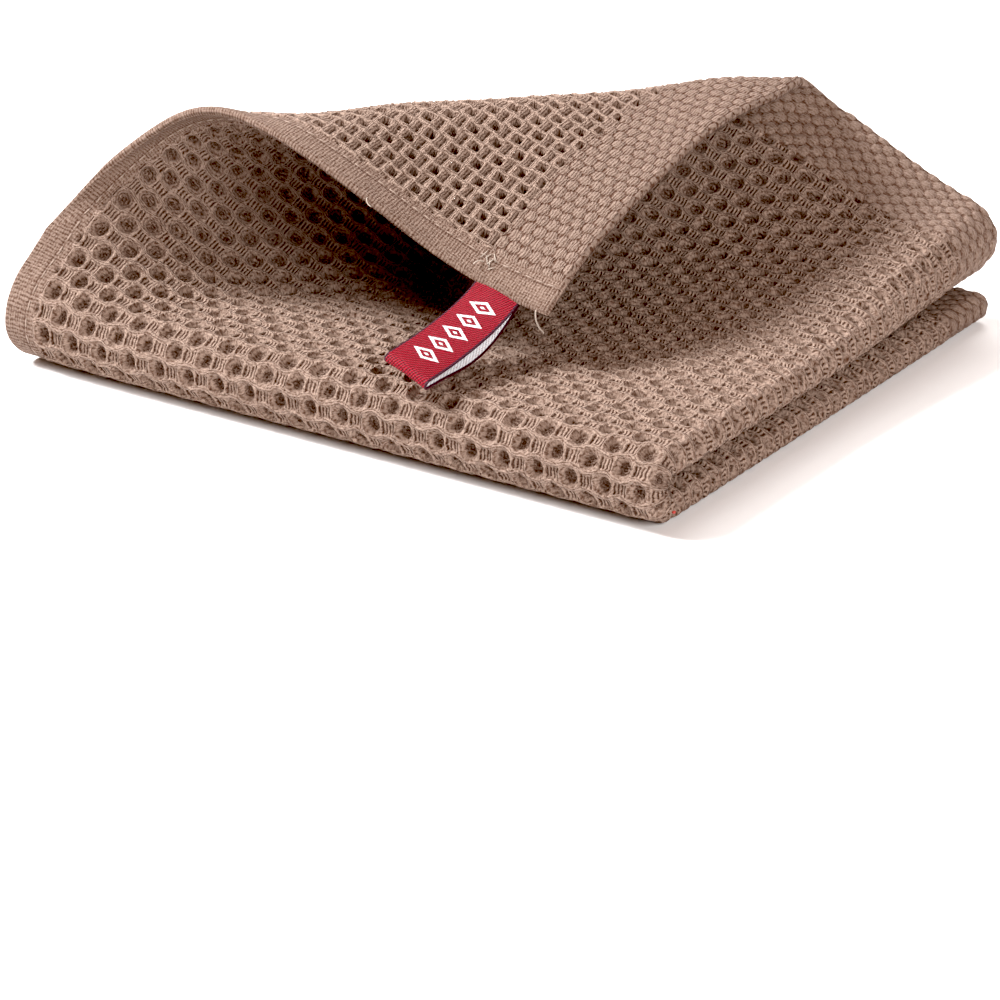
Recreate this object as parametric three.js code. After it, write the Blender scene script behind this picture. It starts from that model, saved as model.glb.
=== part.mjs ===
// A waffle-weave car wash towel, folded in four and lying flat. The free corner of its top layer is
// rolled back over itself, and a looped woven label is sewn into the hem beside that corner.
// Millimetres, +Z up. The towel rests on Z = 0 with the Z axis through the middle of its box.
//
// The cloth is drawn from one middle surface. A point of it has two measures on the flat cloth:
// "across", from the fold on the right, and "back", from the fold at the front. Positive across is the
// outer sheet and negative the inner one. Positive back is the upper half and negative the lower half.

import * as THREE from "three";

// Sizes of the cloth
const SHEET = 3; // thickness over the weave
const PITCH = 4.15; // from the middle of one layer to the middle of the next
const FOLDED_WIDTH = 151; // from the fold on the right to the hem on the left
const FREE_LENGTH = 138.5; // back to the wide band, along the hem
const FOLD_LENGTH = 136; // back to the wide band, along the fold on the right

// The fold on the right holds two layers, and the fold at the front wraps all four
const RIGHT_RADIUS = PITCH / 2;
const FRONT_RADIUS = 1.5 * PITCH;
const QUARTER_TURN = Math.PI / 2;
const FRONT_ARC = FRONT_RADIUS * QUARTER_TURN;
const HEM = FOLDED_WIDTH + RIGHT_RADIUS * (QUARTER_TURN - 1); // where the hem is, measured across

// Height of the middle of the four layers, and of the top one
const MID_HEIGHT = SHEET / 2 + 1.5 * PITCH;

// How unevenly the layers lie
const LEFT_SWELL = { rise: 0.13, reach: 28 }; // share of the height, over the last stretch on the left
const RIGHT_SWELL = { rise: 0.08, from: 70, reach: 60, width: 40 };
const RIDGE_OPENING = { rise: 8, from: 50, reach: 80, flat: 25, fade: 90, easeOut: 60 }; // top right fold
const SHORT_EDGES = { innerHem: 2, lowerHem: 1.5, innerBack: 2, lowerBack: 2.5 }; // of the top sheet's
const RIPPLE = { height: 0.25, across: 47, back: 39 };

// The rolled corner. It turns about lines that run at ROLL_ANGLE to the front fold. Each row is a
// section square to them, "along" measured on that line from the near corner: the cloth stays flat for
// "flat", bends up over "rise" to "wall" degrees, runs straight for "wallLength", bends over the crest
// of radius "crest" until it has turned "turn" degrees, and slides by "lean" for each unit past it.
const ROLL_ANGLE = 42;
const ROLL = [
  { along: -112, flat: 98, rise: 12, wall: 50, wallLength: 4, crest: 6, turn: 204, lean: 0.53 },
  { along: -90, flat: 83, rise: 23, wall: 63, wallLength: 3.3, crest: 9.6, turn: 202.5, lean: 0.27 },
  { along: -65, flat: 89.3, rise: 17.5, wall: 105, wallLength: 0, crest: 19.9, turn: 201, lean: 0.16 },
  { along: -38, flat: 88, rise: 20.4, wall: 114, wallLength: 0, crest: 13, turn: 215, lean: 0.16 },
  { along: -10, flat: 88.7, rise: 22.2, wall: 91, wallLength: 0.7, crest: 12.3, turn: 202, lean: 0.11 },
  { along: 20, flat: 86.5, rise: 27.2, wall: 73.5, wallLength: 2.4, crest: 7.9, turn: 186, lean: 0.04 },
  { along: 50, flat: 80.5, rise: 35, wall: 41, wallLength: 13.8, crest: 6, turn: 184.5, lean: -0.1 },
  { along: 75, flat: 90.3, rise: 28, wall: 32, wallLength: 21.4, crest: 8.8, turn: 199.5, lean: -0.67 },
  { along: 92, flat: 100, rise: 13.5, wall: 20, wallLength: 32.5, crest: 13, turn: 214.5, lean: -1.18 },
];
const ROLL_START = 2.5; // the roll takes hold over this much of the cloth past each fold

// The label: a strip looped back on itself, whose two ends meet the hem
const LABEL_THICKNESS = 1;
const LABEL_WIDTH = 9.6;
const LABEL_BACK = 126.5; // its middle, measured back along the hem
const LABEL_GAP = 0.75; // between the hem's edge and the label's ends
const LABEL_REACH = new THREE.Vector3(-1.8, -26.3, -7.1); // from its root to its looped end
const LABEL_END_TILT = new THREE.Vector3(0.93, 0, -0.36); // across its looped end
const LABEL_BEND = 9; // how far it keeps the hem's slope before it hangs by itself
const LABEL_ROOT_HALF = 0.75; // half the distance between its two plies at the hem
const LABEL_LOOP_RADIUS = 0.95;
const LABEL_SAG = 2.2; // of the lower ply

// How finely the cloth is cut. Stations from -1 to 1 are a fold, and -2 and 2 the cut edges.
const ACROSS_STRETCHES = [
  { from: -2, to: -1, steps: 6 },
  { from: -1, to: 1, steps: 8 },
  { from: 1, to: 2, steps: 36 },
];
const BACK_STRETCHES = [
  { from: -2, to: -1, steps: 5 },
  { from: -1, to: 1, steps: 12 },
  { from: 1, to: 2, steps: 34 },
];
const LABEL_STEPS = 10;
const NORMAL_REACH = 0.4; // to each side of a point, when its normal is worked out

const clamp01 = (x) => Math.min(Math.max(x, 0), 1);
const ease = (x) => clamp01(x) ** 2 * (3 - 2 * clamp01(x));
const radians = THREE.MathUtils.degToRad;

// Slope of one column of the roll table at a row, from its neighbours
function columnSlope(row, column) {
  const before = ROLL[Math.max(row - 1, 0)];
  const here = ROLL[row];
  const after = ROLL[Math.min(row + 1, ROLL.length - 1)];
  if (before === here) return (after[column] - here[column]) / (after.along - here.along);
  if (after === here) return (here[column] - before[column]) / (here.along - before.along);
  const stepIn = here.along - before.along;
  const stepOut = after.along - here.along;
  const slopeIn = (here[column] - before[column]) / stepIn;
  const slopeOut = (after[column] - here[column]) / stepOut;
  return (slopeIn * stepOut + slopeOut * stepIn) / (stepIn + stepOut);
}

// One column of the roll table at any place, on a smooth curve through the rows
function rollValue(column, along) {
  const last = ROLL.length - 1;
  const at = THREE.MathUtils.clamp(along, ROLL[0].along, ROLL[last].along);
  const row = Math.min(ROLL.findLastIndex((r) => r.along <= at), last - 1);
  const span = ROLL[row + 1].along - ROLL[row].along;
  const s = (at - ROLL[row].along) / span;
  const startSlope = columnSlope(row, column) * span;
  const endSlope = columnSlope(row + 1, column) * span;
  return (
    (2 * s ** 3 - 3 * s ** 2 + 1) * ROLL[row][column] +
    (s ** 3 - 2 * s ** 2 + s) * startSlope +
    (3 * s ** 2 - 2 * s ** 3) * ROLL[row + 1][column] +
    (s ** 3 - s ** 2) * endSlope
  );
}

// How far the rolled section moves a point that lies "width" from the near corner's line
function rolled(along, width) {
  const wall = radians(rollValue("wall", along));
  const turn = radians(rollValue("turn", along));
  const flat = rollValue("flat", along);
  const rise = rollValue("rise", along);
  const crest = rollValue("crest", along);
  const wallLength = Math.max(rollValue("wallLength", along), 0);
  const length = Math.max(width - flat, 0);
  const riseArc = rise * wall;
  const crestArc = crest * (turn - wall);
  const onRise = Math.min(length, riseArc);
  const onWall = THREE.MathUtils.clamp(length - riseArc, 0, wallLength);
  const onCrest = THREE.MathUtils.clamp(length - riseArc - wallLength, 0, crestArc);
  const pastCrest = Math.max(length - riseArc - wallLength - crestArc, 0);
  const crestAngle = wall + onCrest / crest;
  const reached =
    Math.min(width, flat) +
    rise * Math.sin(onRise / rise) +
    onWall * Math.cos(wall) +
    crest * (Math.sin(crestAngle) - Math.sin(wall)) +
    pastCrest * Math.cos(turn);
  const height =
    rise * (1 - Math.cos(onRise / rise)) +
    onWall * Math.sin(wall) +
    crest * (Math.cos(wall) - Math.cos(crestAngle)) +
    pastCrest * Math.sin(turn);
  return {
    slide: rollValue("lean", along) * (onCrest + pastCrest),
    pull: reached - width,
    height,
  };
}

// How far the top right fold has sprung open at a depth from the front
function ridgeOpening(depth, back) {
  const share = back > 0 ? ease((depth - RIDGE_OPENING.from) / RIDGE_OPENING.reach) : 0;
  return RIDGE_OPENING.rise * share;
}

// Radius of the fold on the right at a place measured back on the cloth
function rightRadius(back) {
  const depth = FRONT_RADIUS + Math.max(Math.abs(back) - FRONT_ARC, 0);
  return RIGHT_RADIUS + ridgeOpening(depth, back) / 2;
}

// A point of the folded cloth's middle surface, before the top corner is rolled
function foldedPoint(across, back) {
  const fold = rightRadius(back);
  const sheetArc = Math.min(Math.abs(across), fold * QUARTER_TURN);
  const side = Math.sin(sheetArc / fold) * Math.sign(across);
  const tight = fold * (1 - Math.cos(sheetArc / fold)) + Math.abs(across) - sheetArc;
  const takenUp = (fold - RIGHT_RADIUS) * (QUARTER_TURN - 1);
  const left = tight + takenUp * ease((tight - fold) / RIDGE_OPENING.easeOut);
  const radius = PITCH + RIGHT_RADIUS * side;
  const halfArc = Math.min(Math.abs(back), FRONT_ARC);
  const angle = (halfArc / FRONT_RADIUS) * Math.sign(back);
  const depth = FRONT_RADIUS - radius * Math.cos(angle) + Math.abs(back) - halfArc;
  const height = MID_HEIGHT + radius * Math.sin(angle);
  return { left, depth, height, side };
}

// The layers' unevenness: fuller ends, an opened top fold at the right back, and a slight ripple
function settledHeight({ left, depth, height, side }, back) {
  const leftSwell = LEFT_SWELL.rise * ease((left - FOLDED_WIDTH + LEFT_SWELL.reach) / LEFT_SWELL.reach);
  const rightSwell =
    RIGHT_SWELL.rise *
    ease((depth - RIGHT_SWELL.from) / RIGHT_SWELL.reach) *
    ease((RIGHT_SWELL.width - left) / RIGHT_SWELL.width);
  const opened = (ridgeOpening(depth, back) * (1 + side)) / 2;
  const nearFold = 1 - ease((left - RIDGE_OPENING.flat) / RIDGE_OPENING.fade);
  const ripple = RIPPLE.height * Math.sin(left / RIPPLE.across) * Math.sin(depth / RIPPLE.back);
  return height * (1 + leftSwell + rightSwell) + opened * nearFold + ripple * ease(height / PITCH - 1);
}

// A point of the cloth's middle surface
function clothPoint(across, back) {
  const folded = foldedPoint(across, back);
  const point = new THREE.Vector3(-folded.left, folded.depth, settledHeight(folded, back));
  if (across <= 0 || back <= 0) return point;
  const turn = radians(ROLL_ANGLE);
  const alongLine = new THREE.Vector2(Math.cos(turn), Math.sin(turn));
  const acrossLine = new THREE.Vector2(-Math.sin(turn), Math.cos(turn));
  const place = new THREE.Vector2(point.x, point.y);
  const { slide, pull, height } = rolled(place.dot(alongLine), place.dot(acrossLine));
  const grip = (x) => clamp01(x / ROLL_START) * (2 - clamp01(x / ROLL_START));
  const hold = grip(across) * grip(back);
  place.addScaledVector(alongLine, slide * hold).addScaledVector(acrossLine, pull * hold);
  return point.set(place.x, place.y, point.z + height * hold);
}

// A place along one direction of the flat cloth: stations from -1 to 1 are a fold's arc, and from there
// to -2 and 2 the sheet runs out to its edges
function alongStretch(station, arc, length) {
  const onArc = Math.min(Math.abs(station), 1) * arc;
  const onSheet = Math.max(Math.abs(station) - 1, 0) * (length - arc);
  return Math.sign(station) * (onArc + onSheet);
}

// Where two stations meet on the flat cloth, with the inner and lower edges a little short of the others
function cutPlace(acrossStation, backStation) {
  const inner = ease(-acrossStation);
  const lower = ease(-backStation);
  const outward = Math.max(acrossStation - 1, 0);
  const outerLength = THREE.MathUtils.lerp(FOLD_LENGTH, FREE_LENGTH, outward);
  const length = outerLength - SHORT_EDGES.innerBack * inner - SHORT_EDGES.lowerBack * lower;
  const width = HEM - SHORT_EDGES.innerHem * inner - SHORT_EDGES.lowerHem * lower;
  const back = alongStretch(backStation, FRONT_ARC, length);
  const across = alongStretch(acrossStation, rightRadius(back) * QUARTER_TURN, width);
  return { across, back };
}

// The places where the cloth is cut into facets, from a table of stretches
function stations(table) {
  const list = [table[0].from];
  for (const { from, to, steps } of table) {
    for (let i = 1; i <= steps; i++) list.push(from + ((to - from) * i) / steps);
  }
  return list;
}

// A closed solid from a grid of points and the unit direction of its thickness at each. Its facets are
// split along the lines that the corner rolls about, so the roll stays smooth.
function slab(points, normals, thickness) {
  const rows = points.length;
  const columns = points[0].length;
  const positions = [];
  for (const side of [0.5, -0.5]) {
    for (let i = 0; i < rows; i++) {
      for (let j = 0; j < columns; j++) {
        const p = points[i][j].clone().addScaledVector(normals[i][j], side * thickness);
        positions.push(p.x, p.y, p.z);
      }
    }
  }
  const upper = (i, j) => i * columns + j;
  const lower = (i, j) => rows * columns + i * columns + j;
  const faces = [];
  for (let i = 0; i < rows - 1; i++) {
    for (let j = 0; j < columns - 1; j++) {
      faces.push(upper(i, j), upper(i + 1, j), upper(i, j + 1));
      faces.push(upper(i + 1, j), upper(i + 1, j + 1), upper(i, j + 1));
      faces.push(lower(i, j), lower(i, j + 1), lower(i + 1, j));
      faces.push(lower(i + 1, j), lower(i, j + 1), lower(i + 1, j + 1));
    }
  }
  const wall = (a, b, c, d) => faces.push(a, b, c, a, c, d);
  for (let i = 0; i < rows - 1; i++) {
    wall(upper(i, 0), lower(i, 0), lower(i + 1, 0), upper(i + 1, 0));
    const end = columns - 1;
    wall(upper(i + 1, end), lower(i + 1, end), lower(i, end), upper(i, end));
  }
  for (let j = 0; j < columns - 1; j++) {
    wall(upper(0, j + 1), lower(0, j + 1), lower(0, j), upper(0, j));
    const end = rows - 1;
    wall(upper(end, j), lower(end, j), lower(end, j + 1), upper(end, j + 1));
  }
  const geometry = new THREE.BufferGeometry();
  geometry.setAttribute("position", new THREE.Float32BufferAttribute(positions, 3));
  geometry.setIndex(faces);
  geometry.computeVertexNormals();
  return geometry;
}

// Unit direction of the cloth's thickness, from points a short way to each side
function clothNormal(across, back) {
  const alongAcross = clothPoint(across + NORMAL_REACH, back).sub(clothPoint(across - NORMAL_REACH, back));
  const alongBack = clothPoint(across, back + NORMAL_REACH).sub(clothPoint(across, back - NORMAL_REACH));
  return alongAcross.cross(alongBack).normalize();
}

function clothGeometry() {
  const points = [];
  const normals = [];
  for (const across of stations(ACROSS_STRETCHES)) {
    const row = stations(BACK_STRETCHES).map((station) => cutPlace(across, station));
    points.push(row.map((place) => clothPoint(place.across, place.back)));
    normals.push(row.map((place) => clothNormal(place.across, place.back)));
  }
  return slab(points, normals, SHEET);
}

// The label's section as reach, from its root at 0 to its loop at 1, and rise over its middle line
function labelSection() {
  const section = [];
  for (let i = 0; i <= LABEL_STEPS; i++) {
    const reach = i / LABEL_STEPS;
    section.push({ reach, rise: THREE.MathUtils.lerp(LABEL_ROOT_HALF, LABEL_LOOP_RADIUS, reach) });
  }
  for (let i = 1; i < LABEL_STEPS; i++) {
    const angle = (Math.PI * i) / LABEL_STEPS;
    section.push({
      reach: 1,
      past: LABEL_LOOP_RADIUS * Math.sin(angle),
      rise: LABEL_LOOP_RADIUS * Math.cos(angle),
    });
  }
  for (let i = LABEL_STEPS; i >= 0; i--) {
    const reach = i / LABEL_STEPS;
    const half = THREE.MathUtils.lerp(LABEL_ROOT_HALF, LABEL_LOOP_RADIUS, reach);
    section.push({ reach, rise: -half - LABEL_SAG * Math.sin(Math.PI * reach) ** 2 });
  }
  return section;
}

function labelGeometry() {
  const half = LABEL_WIDTH / 2;
  const root = clothPoint(HEM, LABEL_BACK);
  const rootTilt = clothPoint(HEM, LABEL_BACK + half).sub(clothPoint(HEM, LABEL_BACK - half)).normalize();
  const rootOut = root.clone().sub(clothPoint(HEM - 1, LABEL_BACK)).normalize();
  const start = root.clone().addScaledVector(rootOut, LABEL_GAP);
  const middleLine = new THREE.QuadraticBezierCurve3(
    start,
    start.clone().addScaledVector(rootOut, LABEL_BEND),
    root.clone().add(LABEL_REACH),
  );
  const section = labelSection();
  const points = [];
  const tilts = [];
  for (const { reach, past = 0, rise } of section) {
    const heading = middleLine.getTangent(reach);
    const tilt = rootTilt.clone().lerp(LABEL_END_TILT, reach);
    tilt.addScaledVector(heading, -tilt.dot(heading)).normalize();
    const up = heading.clone().cross(tilt);
    const place = middleLine.getPoint(reach).addScaledVector(heading, past).addScaledVector(up, rise);
    points.push([-half, half].map((side) => place.clone().addScaledVector(tilt, side)));
    tilts.push(tilt);
  }
  const normals = points.map((pair, i) => {
    const before = points[Math.max(i - 1, 0)][0];
    const after = points[Math.min(i + 1, points.length - 1)][0];
    const normal = after.clone().sub(before).cross(tilts[i]).normalize();
    return [normal, normal];
  });
  return slab(points, normals, LABEL_THICKNESS);
}

const clothColour = new THREE.MeshStandardMaterial({ color: 0xa0826f, roughness: 0.95, metalness: 0 });
const labelColour = new THREE.MeshStandardMaterial({ color: 0xb01e35, roughness: 0.6, metalness: 0 });

const cloth = new THREE.Mesh(clothGeometry(), clothColour);
cloth.name = "cloth";
const label = new THREE.Mesh(labelGeometry(), labelColour);
label.name = "label";

const towel = new THREE.Group();
towel.add(cloth, label);
const box = new THREE.Box3().setFromObject(towel);
const middle = box.getCenter(new THREE.Vector3());
towel.position.set(-middle.x, -middle.y, -box.min.z);

export default towel;
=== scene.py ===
# %% [markdown]
# # A folded waffle-weave towel
# A cotton car wash towel lies folded in four. The free corner of its top layer is rolled back over
# itself, and a looped red label is sewn into its hem. The folded solid from the CAD frame gives the
# place and the outline. This lesson lays a finer cloth over it, with the weave's hollows as real
# relief, and finishes it with thread-scale patterns in the materials.

# %% Load the frame
import math
import random

import bmesh
import bpy
import numpy as np
from mathutils import Matrix, Vector


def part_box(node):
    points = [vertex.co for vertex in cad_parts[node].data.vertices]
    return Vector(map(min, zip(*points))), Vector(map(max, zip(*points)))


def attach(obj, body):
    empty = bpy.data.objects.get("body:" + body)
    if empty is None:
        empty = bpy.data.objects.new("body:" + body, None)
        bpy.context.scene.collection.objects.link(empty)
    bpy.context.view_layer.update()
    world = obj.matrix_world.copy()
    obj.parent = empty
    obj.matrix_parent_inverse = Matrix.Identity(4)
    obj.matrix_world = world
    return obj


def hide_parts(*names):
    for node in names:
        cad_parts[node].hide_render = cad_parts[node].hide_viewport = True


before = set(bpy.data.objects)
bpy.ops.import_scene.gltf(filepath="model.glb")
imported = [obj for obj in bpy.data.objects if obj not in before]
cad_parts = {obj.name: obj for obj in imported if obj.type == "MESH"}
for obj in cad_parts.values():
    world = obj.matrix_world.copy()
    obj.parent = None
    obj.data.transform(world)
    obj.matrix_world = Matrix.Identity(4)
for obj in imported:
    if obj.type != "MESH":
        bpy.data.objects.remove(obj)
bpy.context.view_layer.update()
cloth_low, cloth_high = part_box("cloth")
label_low, label_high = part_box("label")
bpy.ops.object.select_all(action="DESELECT")
print("label box", [round(v, 4) for v in (*label_low, *label_high)])

# %% [markdown]
# ## Sizes
# The cloth is measured on its flat cut, in millimetres. "Across" runs from the fold on the right to
# the hem, positive on the outer sheet. "Back" runs from the fold at the front to the wide woven band,
# positive on the upper half. The same few sizes that shaped the solid place every point here.

# %% Sizes of the cloth and its folds
MM = 0.001
SHEET = 3.0
PITCH = 4.15
FOLDED_WIDTH = 151.0
FREE_LENGTH = 138.5
FOLD_LENGTH = 136.0
RIGHT_RADIUS = PITCH / 2
FRONT_RADIUS = 1.5 * PITCH
QUARTER_TURN = math.pi / 2
FRONT_ARC = FRONT_RADIUS * QUARTER_TURN
HEM = FOLDED_WIDTH + RIGHT_RADIUS * (QUARTER_TURN - 1)
MID_HEIGHT = SHEET / 2 + 1.5 * PITCH
HEM_WIDTH = 7.8
BAND_WIDTH = 18.1
FOLD_LINE_X = cloth_high.x - SHEET / 2 * MM
FOLD_LINE_Y = cloth_low.y + SHEET / 2 * MM
print("flat cloth", round(2 * HEM), "by", round(2 * FREE_LENGTH), "mm")

# %% [markdown]
# ## Camera
# The towel was seen through a long lens, from above its near corner, with that corner's two folds
# running off to the left and the right. Its straight edges give the camera's place more exactly than
# the eye does. The camera comes first, so that each later step can be looked at from it.

# %% Place the camera
CAMERA_AZIMUTH = math.radians(33.85)
CAMERA_ELEVATION = math.radians(23.56)
CAMERA_DISTANCE, CAMERA_ASIDE, CAMERA_RAISED = 728.0, -0.1, -47.2
CAMERA_AIM = (-76.0, 64.55, 16.61)
CAMERA_NEAREST = 0.01
FOCAL_PIXELS, PICTURE_PIXELS = 3625.0, 1000.0
SENSOR = 36.0

camera_back = Vector((
    math.sin(CAMERA_AZIMUTH) * math.cos(CAMERA_ELEVATION),
    -math.cos(CAMERA_AZIMUTH) * math.cos(CAMERA_ELEVATION),
    math.sin(CAMERA_ELEVATION),
))
camera_right = Vector((math.cos(CAMERA_AZIMUTH), math.sin(CAMERA_AZIMUTH), 0))
camera_up = camera_back.cross(camera_right)
aim = Vector((FOLD_LINE_X + CAMERA_AIM[0] * MM, FOLD_LINE_Y + CAMERA_AIM[1] * MM, CAMERA_AIM[2] * MM))
away = camera_back * CAMERA_DISTANCE + camera_right * CAMERA_ASIDE + camera_up * CAMERA_RAISED
camera_place = aim + away * MM
bpy.ops.object.camera_add(location=camera_place)
camera = bpy.context.object
camera.name = "view_camera"
camera_turn = Matrix((camera_right, camera_up, camera_back)).transposed().to_4x4()
camera.matrix_world = Matrix.Translation(camera_place) @ camera_turn
camera.data.sensor_width = SENSOR
camera.data.lens = FOCAL_PIXELS / PICTURE_PIXELS * SENSOR
camera.data.clip_start = CAMERA_NEAREST
bpy.context.scene.camera = camera
print("camera at", [round(v, 3) for v in camera_place], "lens", round(camera.data.lens, 1))

# %% [markdown]
# ## Folding the flat cloth
# A real towel is folded by hand, and the sheet stays nearly the same size while it bends. So the
# cloth is modelled flat and each point is carried to its folded place by a function: first round the
# fold on the right, then round the fold at the front, and then round the lines on which the free
# corner rolls. A simulation would settle into some fold of its own; this way keeps the one shown.

# %% Swells, ripples and the table of the roll, in mm and degrees
LEFT_RISE, LEFT_REACH = 0.13, 28
RIGHT_RISE, RIGHT_FROM, RIGHT_REACH, RIGHT_WIDTH = 0.08, 70, 60, 40
RIDGE_RISE, RIDGE_FROM, RIDGE_REACH, RIDGE_FLAT, RIDGE_FADE, RIDGE_EASE = 8, 50, 80, 25, 90, 60
INNER_HEM_SHORT, LOWER_HEM_SHORT, INNER_BACK_SHORT, LOWER_BACK_SHORT = 2, 1.5, 2, 2.5
RIPPLE_HEIGHT, RIPPLE_ACROSS, RIPPLE_BACK = 0.25, 47, 39
ROLL_COS, ROLL_SIN = math.cos(math.radians(42)), math.sin(math.radians(42))
ROLL_START = 2.5
# Columns: along, flat, rise, wall, wall length, crest, turn, lean
ROLL = np.array([
    (-112, 98, 12, 50, 4, 6, 204, 0.53),
    (-90, 83, 23, 63, 3.3, 9.6, 202.5, 0.27),
    (-65, 89.3, 17.5, 105, 0, 19.9, 201, 0.16),
    (-38, 88, 20.4, 114, 0, 13, 215, 0.16),
    (-10, 88.7, 22.2, 91, 0.7, 12.3, 202, 0.11),
    (20, 86.5, 27.2, 73.5, 2.4, 7.9, 186, 0.04),
    (50, 80.5, 35, 41, 13.8, 6, 184.5, -0.1),
    (75, 90.3, 28, 32, 21.4, 8.8, 199.5, -0.67),
    (92, 100, 13.5, 20, 32.5, 13, 214.5, -1.18),
])
print("sections of the roll", len(ROLL))

# %% Read the roll between its rows, and wind a point over it
def ease(x):
    """Rises softly from 0 to 1 while x does."""
    x = np.clip(x, 0, 1)
    return x * x * (3 - 2 * x)


def roll_values(along):
    """Each column of the roll table at any place along it, on a smooth curve through its rows."""
    rows, values = ROLL[:, 0], ROLL[:, 1:].T
    slopes = np.gradient(values, rows, axis=1)
    at = np.clip(along, rows[0], rows[-1])
    row = np.clip(np.searchsorted(rows, at, side="right") - 1, 0, len(rows) - 2)
    span = rows[row + 1] - rows[row]
    s = (at - rows[row]) / span
    return (
        (2 * s**3 - 3 * s**2 + 1) * values[:, row]
        + (s**3 - 2 * s**2 + s) * slopes[:, row] * span
        + (3 * s**2 - 2 * s**3) * values[:, row + 1]
        + (s**3 - s**2) * slopes[:, row + 1] * span
    )


def rolled(along, width):
    """How far the rolled section slides, pulls and lifts a point."""
    flat, rise, wall, wall_length, crest, turn, lean = roll_values(along)
    wall, turn, wall_length = np.radians(wall), np.radians(turn), np.maximum(wall_length, 0)
    length = np.maximum(width - flat, 0)
    rise_arc = rise * wall
    crest_arc = crest * (turn - wall)
    on_rise = np.minimum(length, rise_arc)
    on_wall = np.clip(length - rise_arc, 0, wall_length)
    on_crest = np.clip(length - rise_arc - wall_length, 0, crest_arc)
    past_crest = np.maximum(length - rise_arc - wall_length - crest_arc, 0)
    crest_angle = wall + on_crest / crest
    reached = (
        np.minimum(width, flat) + rise * np.sin(on_rise / rise) + on_wall * np.cos(wall)
        + crest * (np.sin(crest_angle) - np.sin(wall)) + past_crest * np.cos(turn)
    )
    height = (
        rise * (1 - np.cos(on_rise / rise)) + on_wall * np.sin(wall)
        + crest * (np.cos(wall) - np.cos(crest_angle)) + past_crest * np.sin(turn)
    )
    return lean * (on_crest + past_crest), reached - width, height


print("its crest lifts the cloth by", round(float(rolled(0.0, 130.0)[2])), "mm")

# %% Carry a point of the flat cloth to its folded place
def ridge_opening(depth, back):
    """How far the fold on the right gapes, in mm, towards the back of the upper half."""
    return np.where(back > 0, RIDGE_RISE * ease((depth - RIDGE_FROM) / RIDGE_REACH), 0)


def folded_flat(across, back):
    """Places left of and behind the two folds, and the height, before the corner is rolled, in mm."""
    fold_depth = FRONT_RADIUS + np.maximum(np.abs(back) - FRONT_ARC, 0)
    fold = RIGHT_RADIUS + ridge_opening(fold_depth, back) / 2
    sheet_arc = np.minimum(np.abs(across), fold * QUARTER_TURN)
    side = np.sin(sheet_arc / fold) * np.sign(across)
    tight = fold * (1 - np.cos(sheet_arc / fold)) + np.abs(across) - sheet_arc
    taken_up = (fold - RIGHT_RADIUS) * (QUARTER_TURN - 1)
    left = tight + taken_up * ease((tight - fold) / RIDGE_EASE)
    radius = PITCH + RIGHT_RADIUS * side
    half_arc = np.minimum(np.abs(back), FRONT_ARC)
    angle = half_arc / FRONT_RADIUS * np.sign(back)
    depth = FRONT_RADIUS - radius * np.cos(angle) + np.abs(back) - half_arc
    height = MID_HEIGHT + radius * np.sin(angle)

    left_swell = LEFT_RISE * ease((left - FOLDED_WIDTH + LEFT_REACH) / LEFT_REACH)
    right_swell = RIGHT_RISE * ease((depth - RIGHT_FROM) / RIGHT_REACH) * ease((RIGHT_WIDTH - left) / RIGHT_WIDTH)
    opened = ridge_opening(depth, back) * (1 + side) / 2
    near_fold = 1 - ease((left - RIDGE_FLAT) / RIDGE_FADE)
    ripple = RIPPLE_HEIGHT * np.sin(left / RIPPLE_ACROSS) * np.sin(depth / RIPPLE_BACK)
    height = height * (1 + left_swell + right_swell) + opened * near_fold + ripple * ease(height / PITCH - 1)
    return left, depth, height


def cloth_point(across, back):
    """Middle surface of the folded cloth, in metres in the frame."""
    left, depth, height = folded_flat(across, back)
    x, y = -left, depth
    slide, pull, lift = rolled(x * ROLL_COS + y * ROLL_SIN, y * ROLL_COS - x * ROLL_SIN)
    grip_across = np.clip(across / ROLL_START, 0, 1)
    grip_back = np.clip(back / ROLL_START, 0, 1)
    hold = grip_across * (2 - grip_across) * grip_back * (2 - grip_back)
    x = x + (ROLL_COS * slide - ROLL_SIN * pull) * hold
    y = y + (ROLL_SIN * slide + ROLL_COS * pull) * hold
    z = height + lift * hold
    return np.stack([FOLD_LINE_X + x * MM, FOLD_LINE_Y + y * MM, z * MM], axis=-1)


print("tip of the rolled corner", cloth_point(np.array(HEM), np.array(FREE_LENGTH)).round(4))

# %% Where the cut's edges lie, and which way the cloth faces
NORMAL_REACH = 0.4


def cut_place(across, back):
    """The inner and lower edges of the cut lie a little short of the others."""
    inner = ease(-across / (RIGHT_RADIUS * QUARTER_TURN))
    lower = ease(-back / FRONT_ARC)
    outward = np.clip((across - RIGHT_RADIUS * QUARTER_TURN) / (HEM - RIGHT_RADIUS * QUARTER_TURN), 0, 1)
    length = FOLD_LENGTH + (FREE_LENGTH - FOLD_LENGTH) * outward
    length = length - INNER_BACK_SHORT * inner - LOWER_BACK_SHORT * lower
    width = HEM - INNER_HEM_SHORT * inner - LOWER_HEM_SHORT * lower
    return across * width / HEM, back * length / FREE_LENGTH


def unit(vectors):
    return vectors / np.linalg.norm(vectors, axis=-1, keepdims=True)


def cloth_normal(across, back):
    ahead = cloth_point(across + NORMAL_REACH, back) - cloth_point(across - NORMAL_REACH, back)
    aside = cloth_point(across, back + NORMAL_REACH) - cloth_point(across, back - NORMAL_REACH)
    return unit(np.cross(aside, ahead))


print("the lowest layer faces", cloth_normal(np.array(70.0), np.array(-70.0)).round(2))

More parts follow.
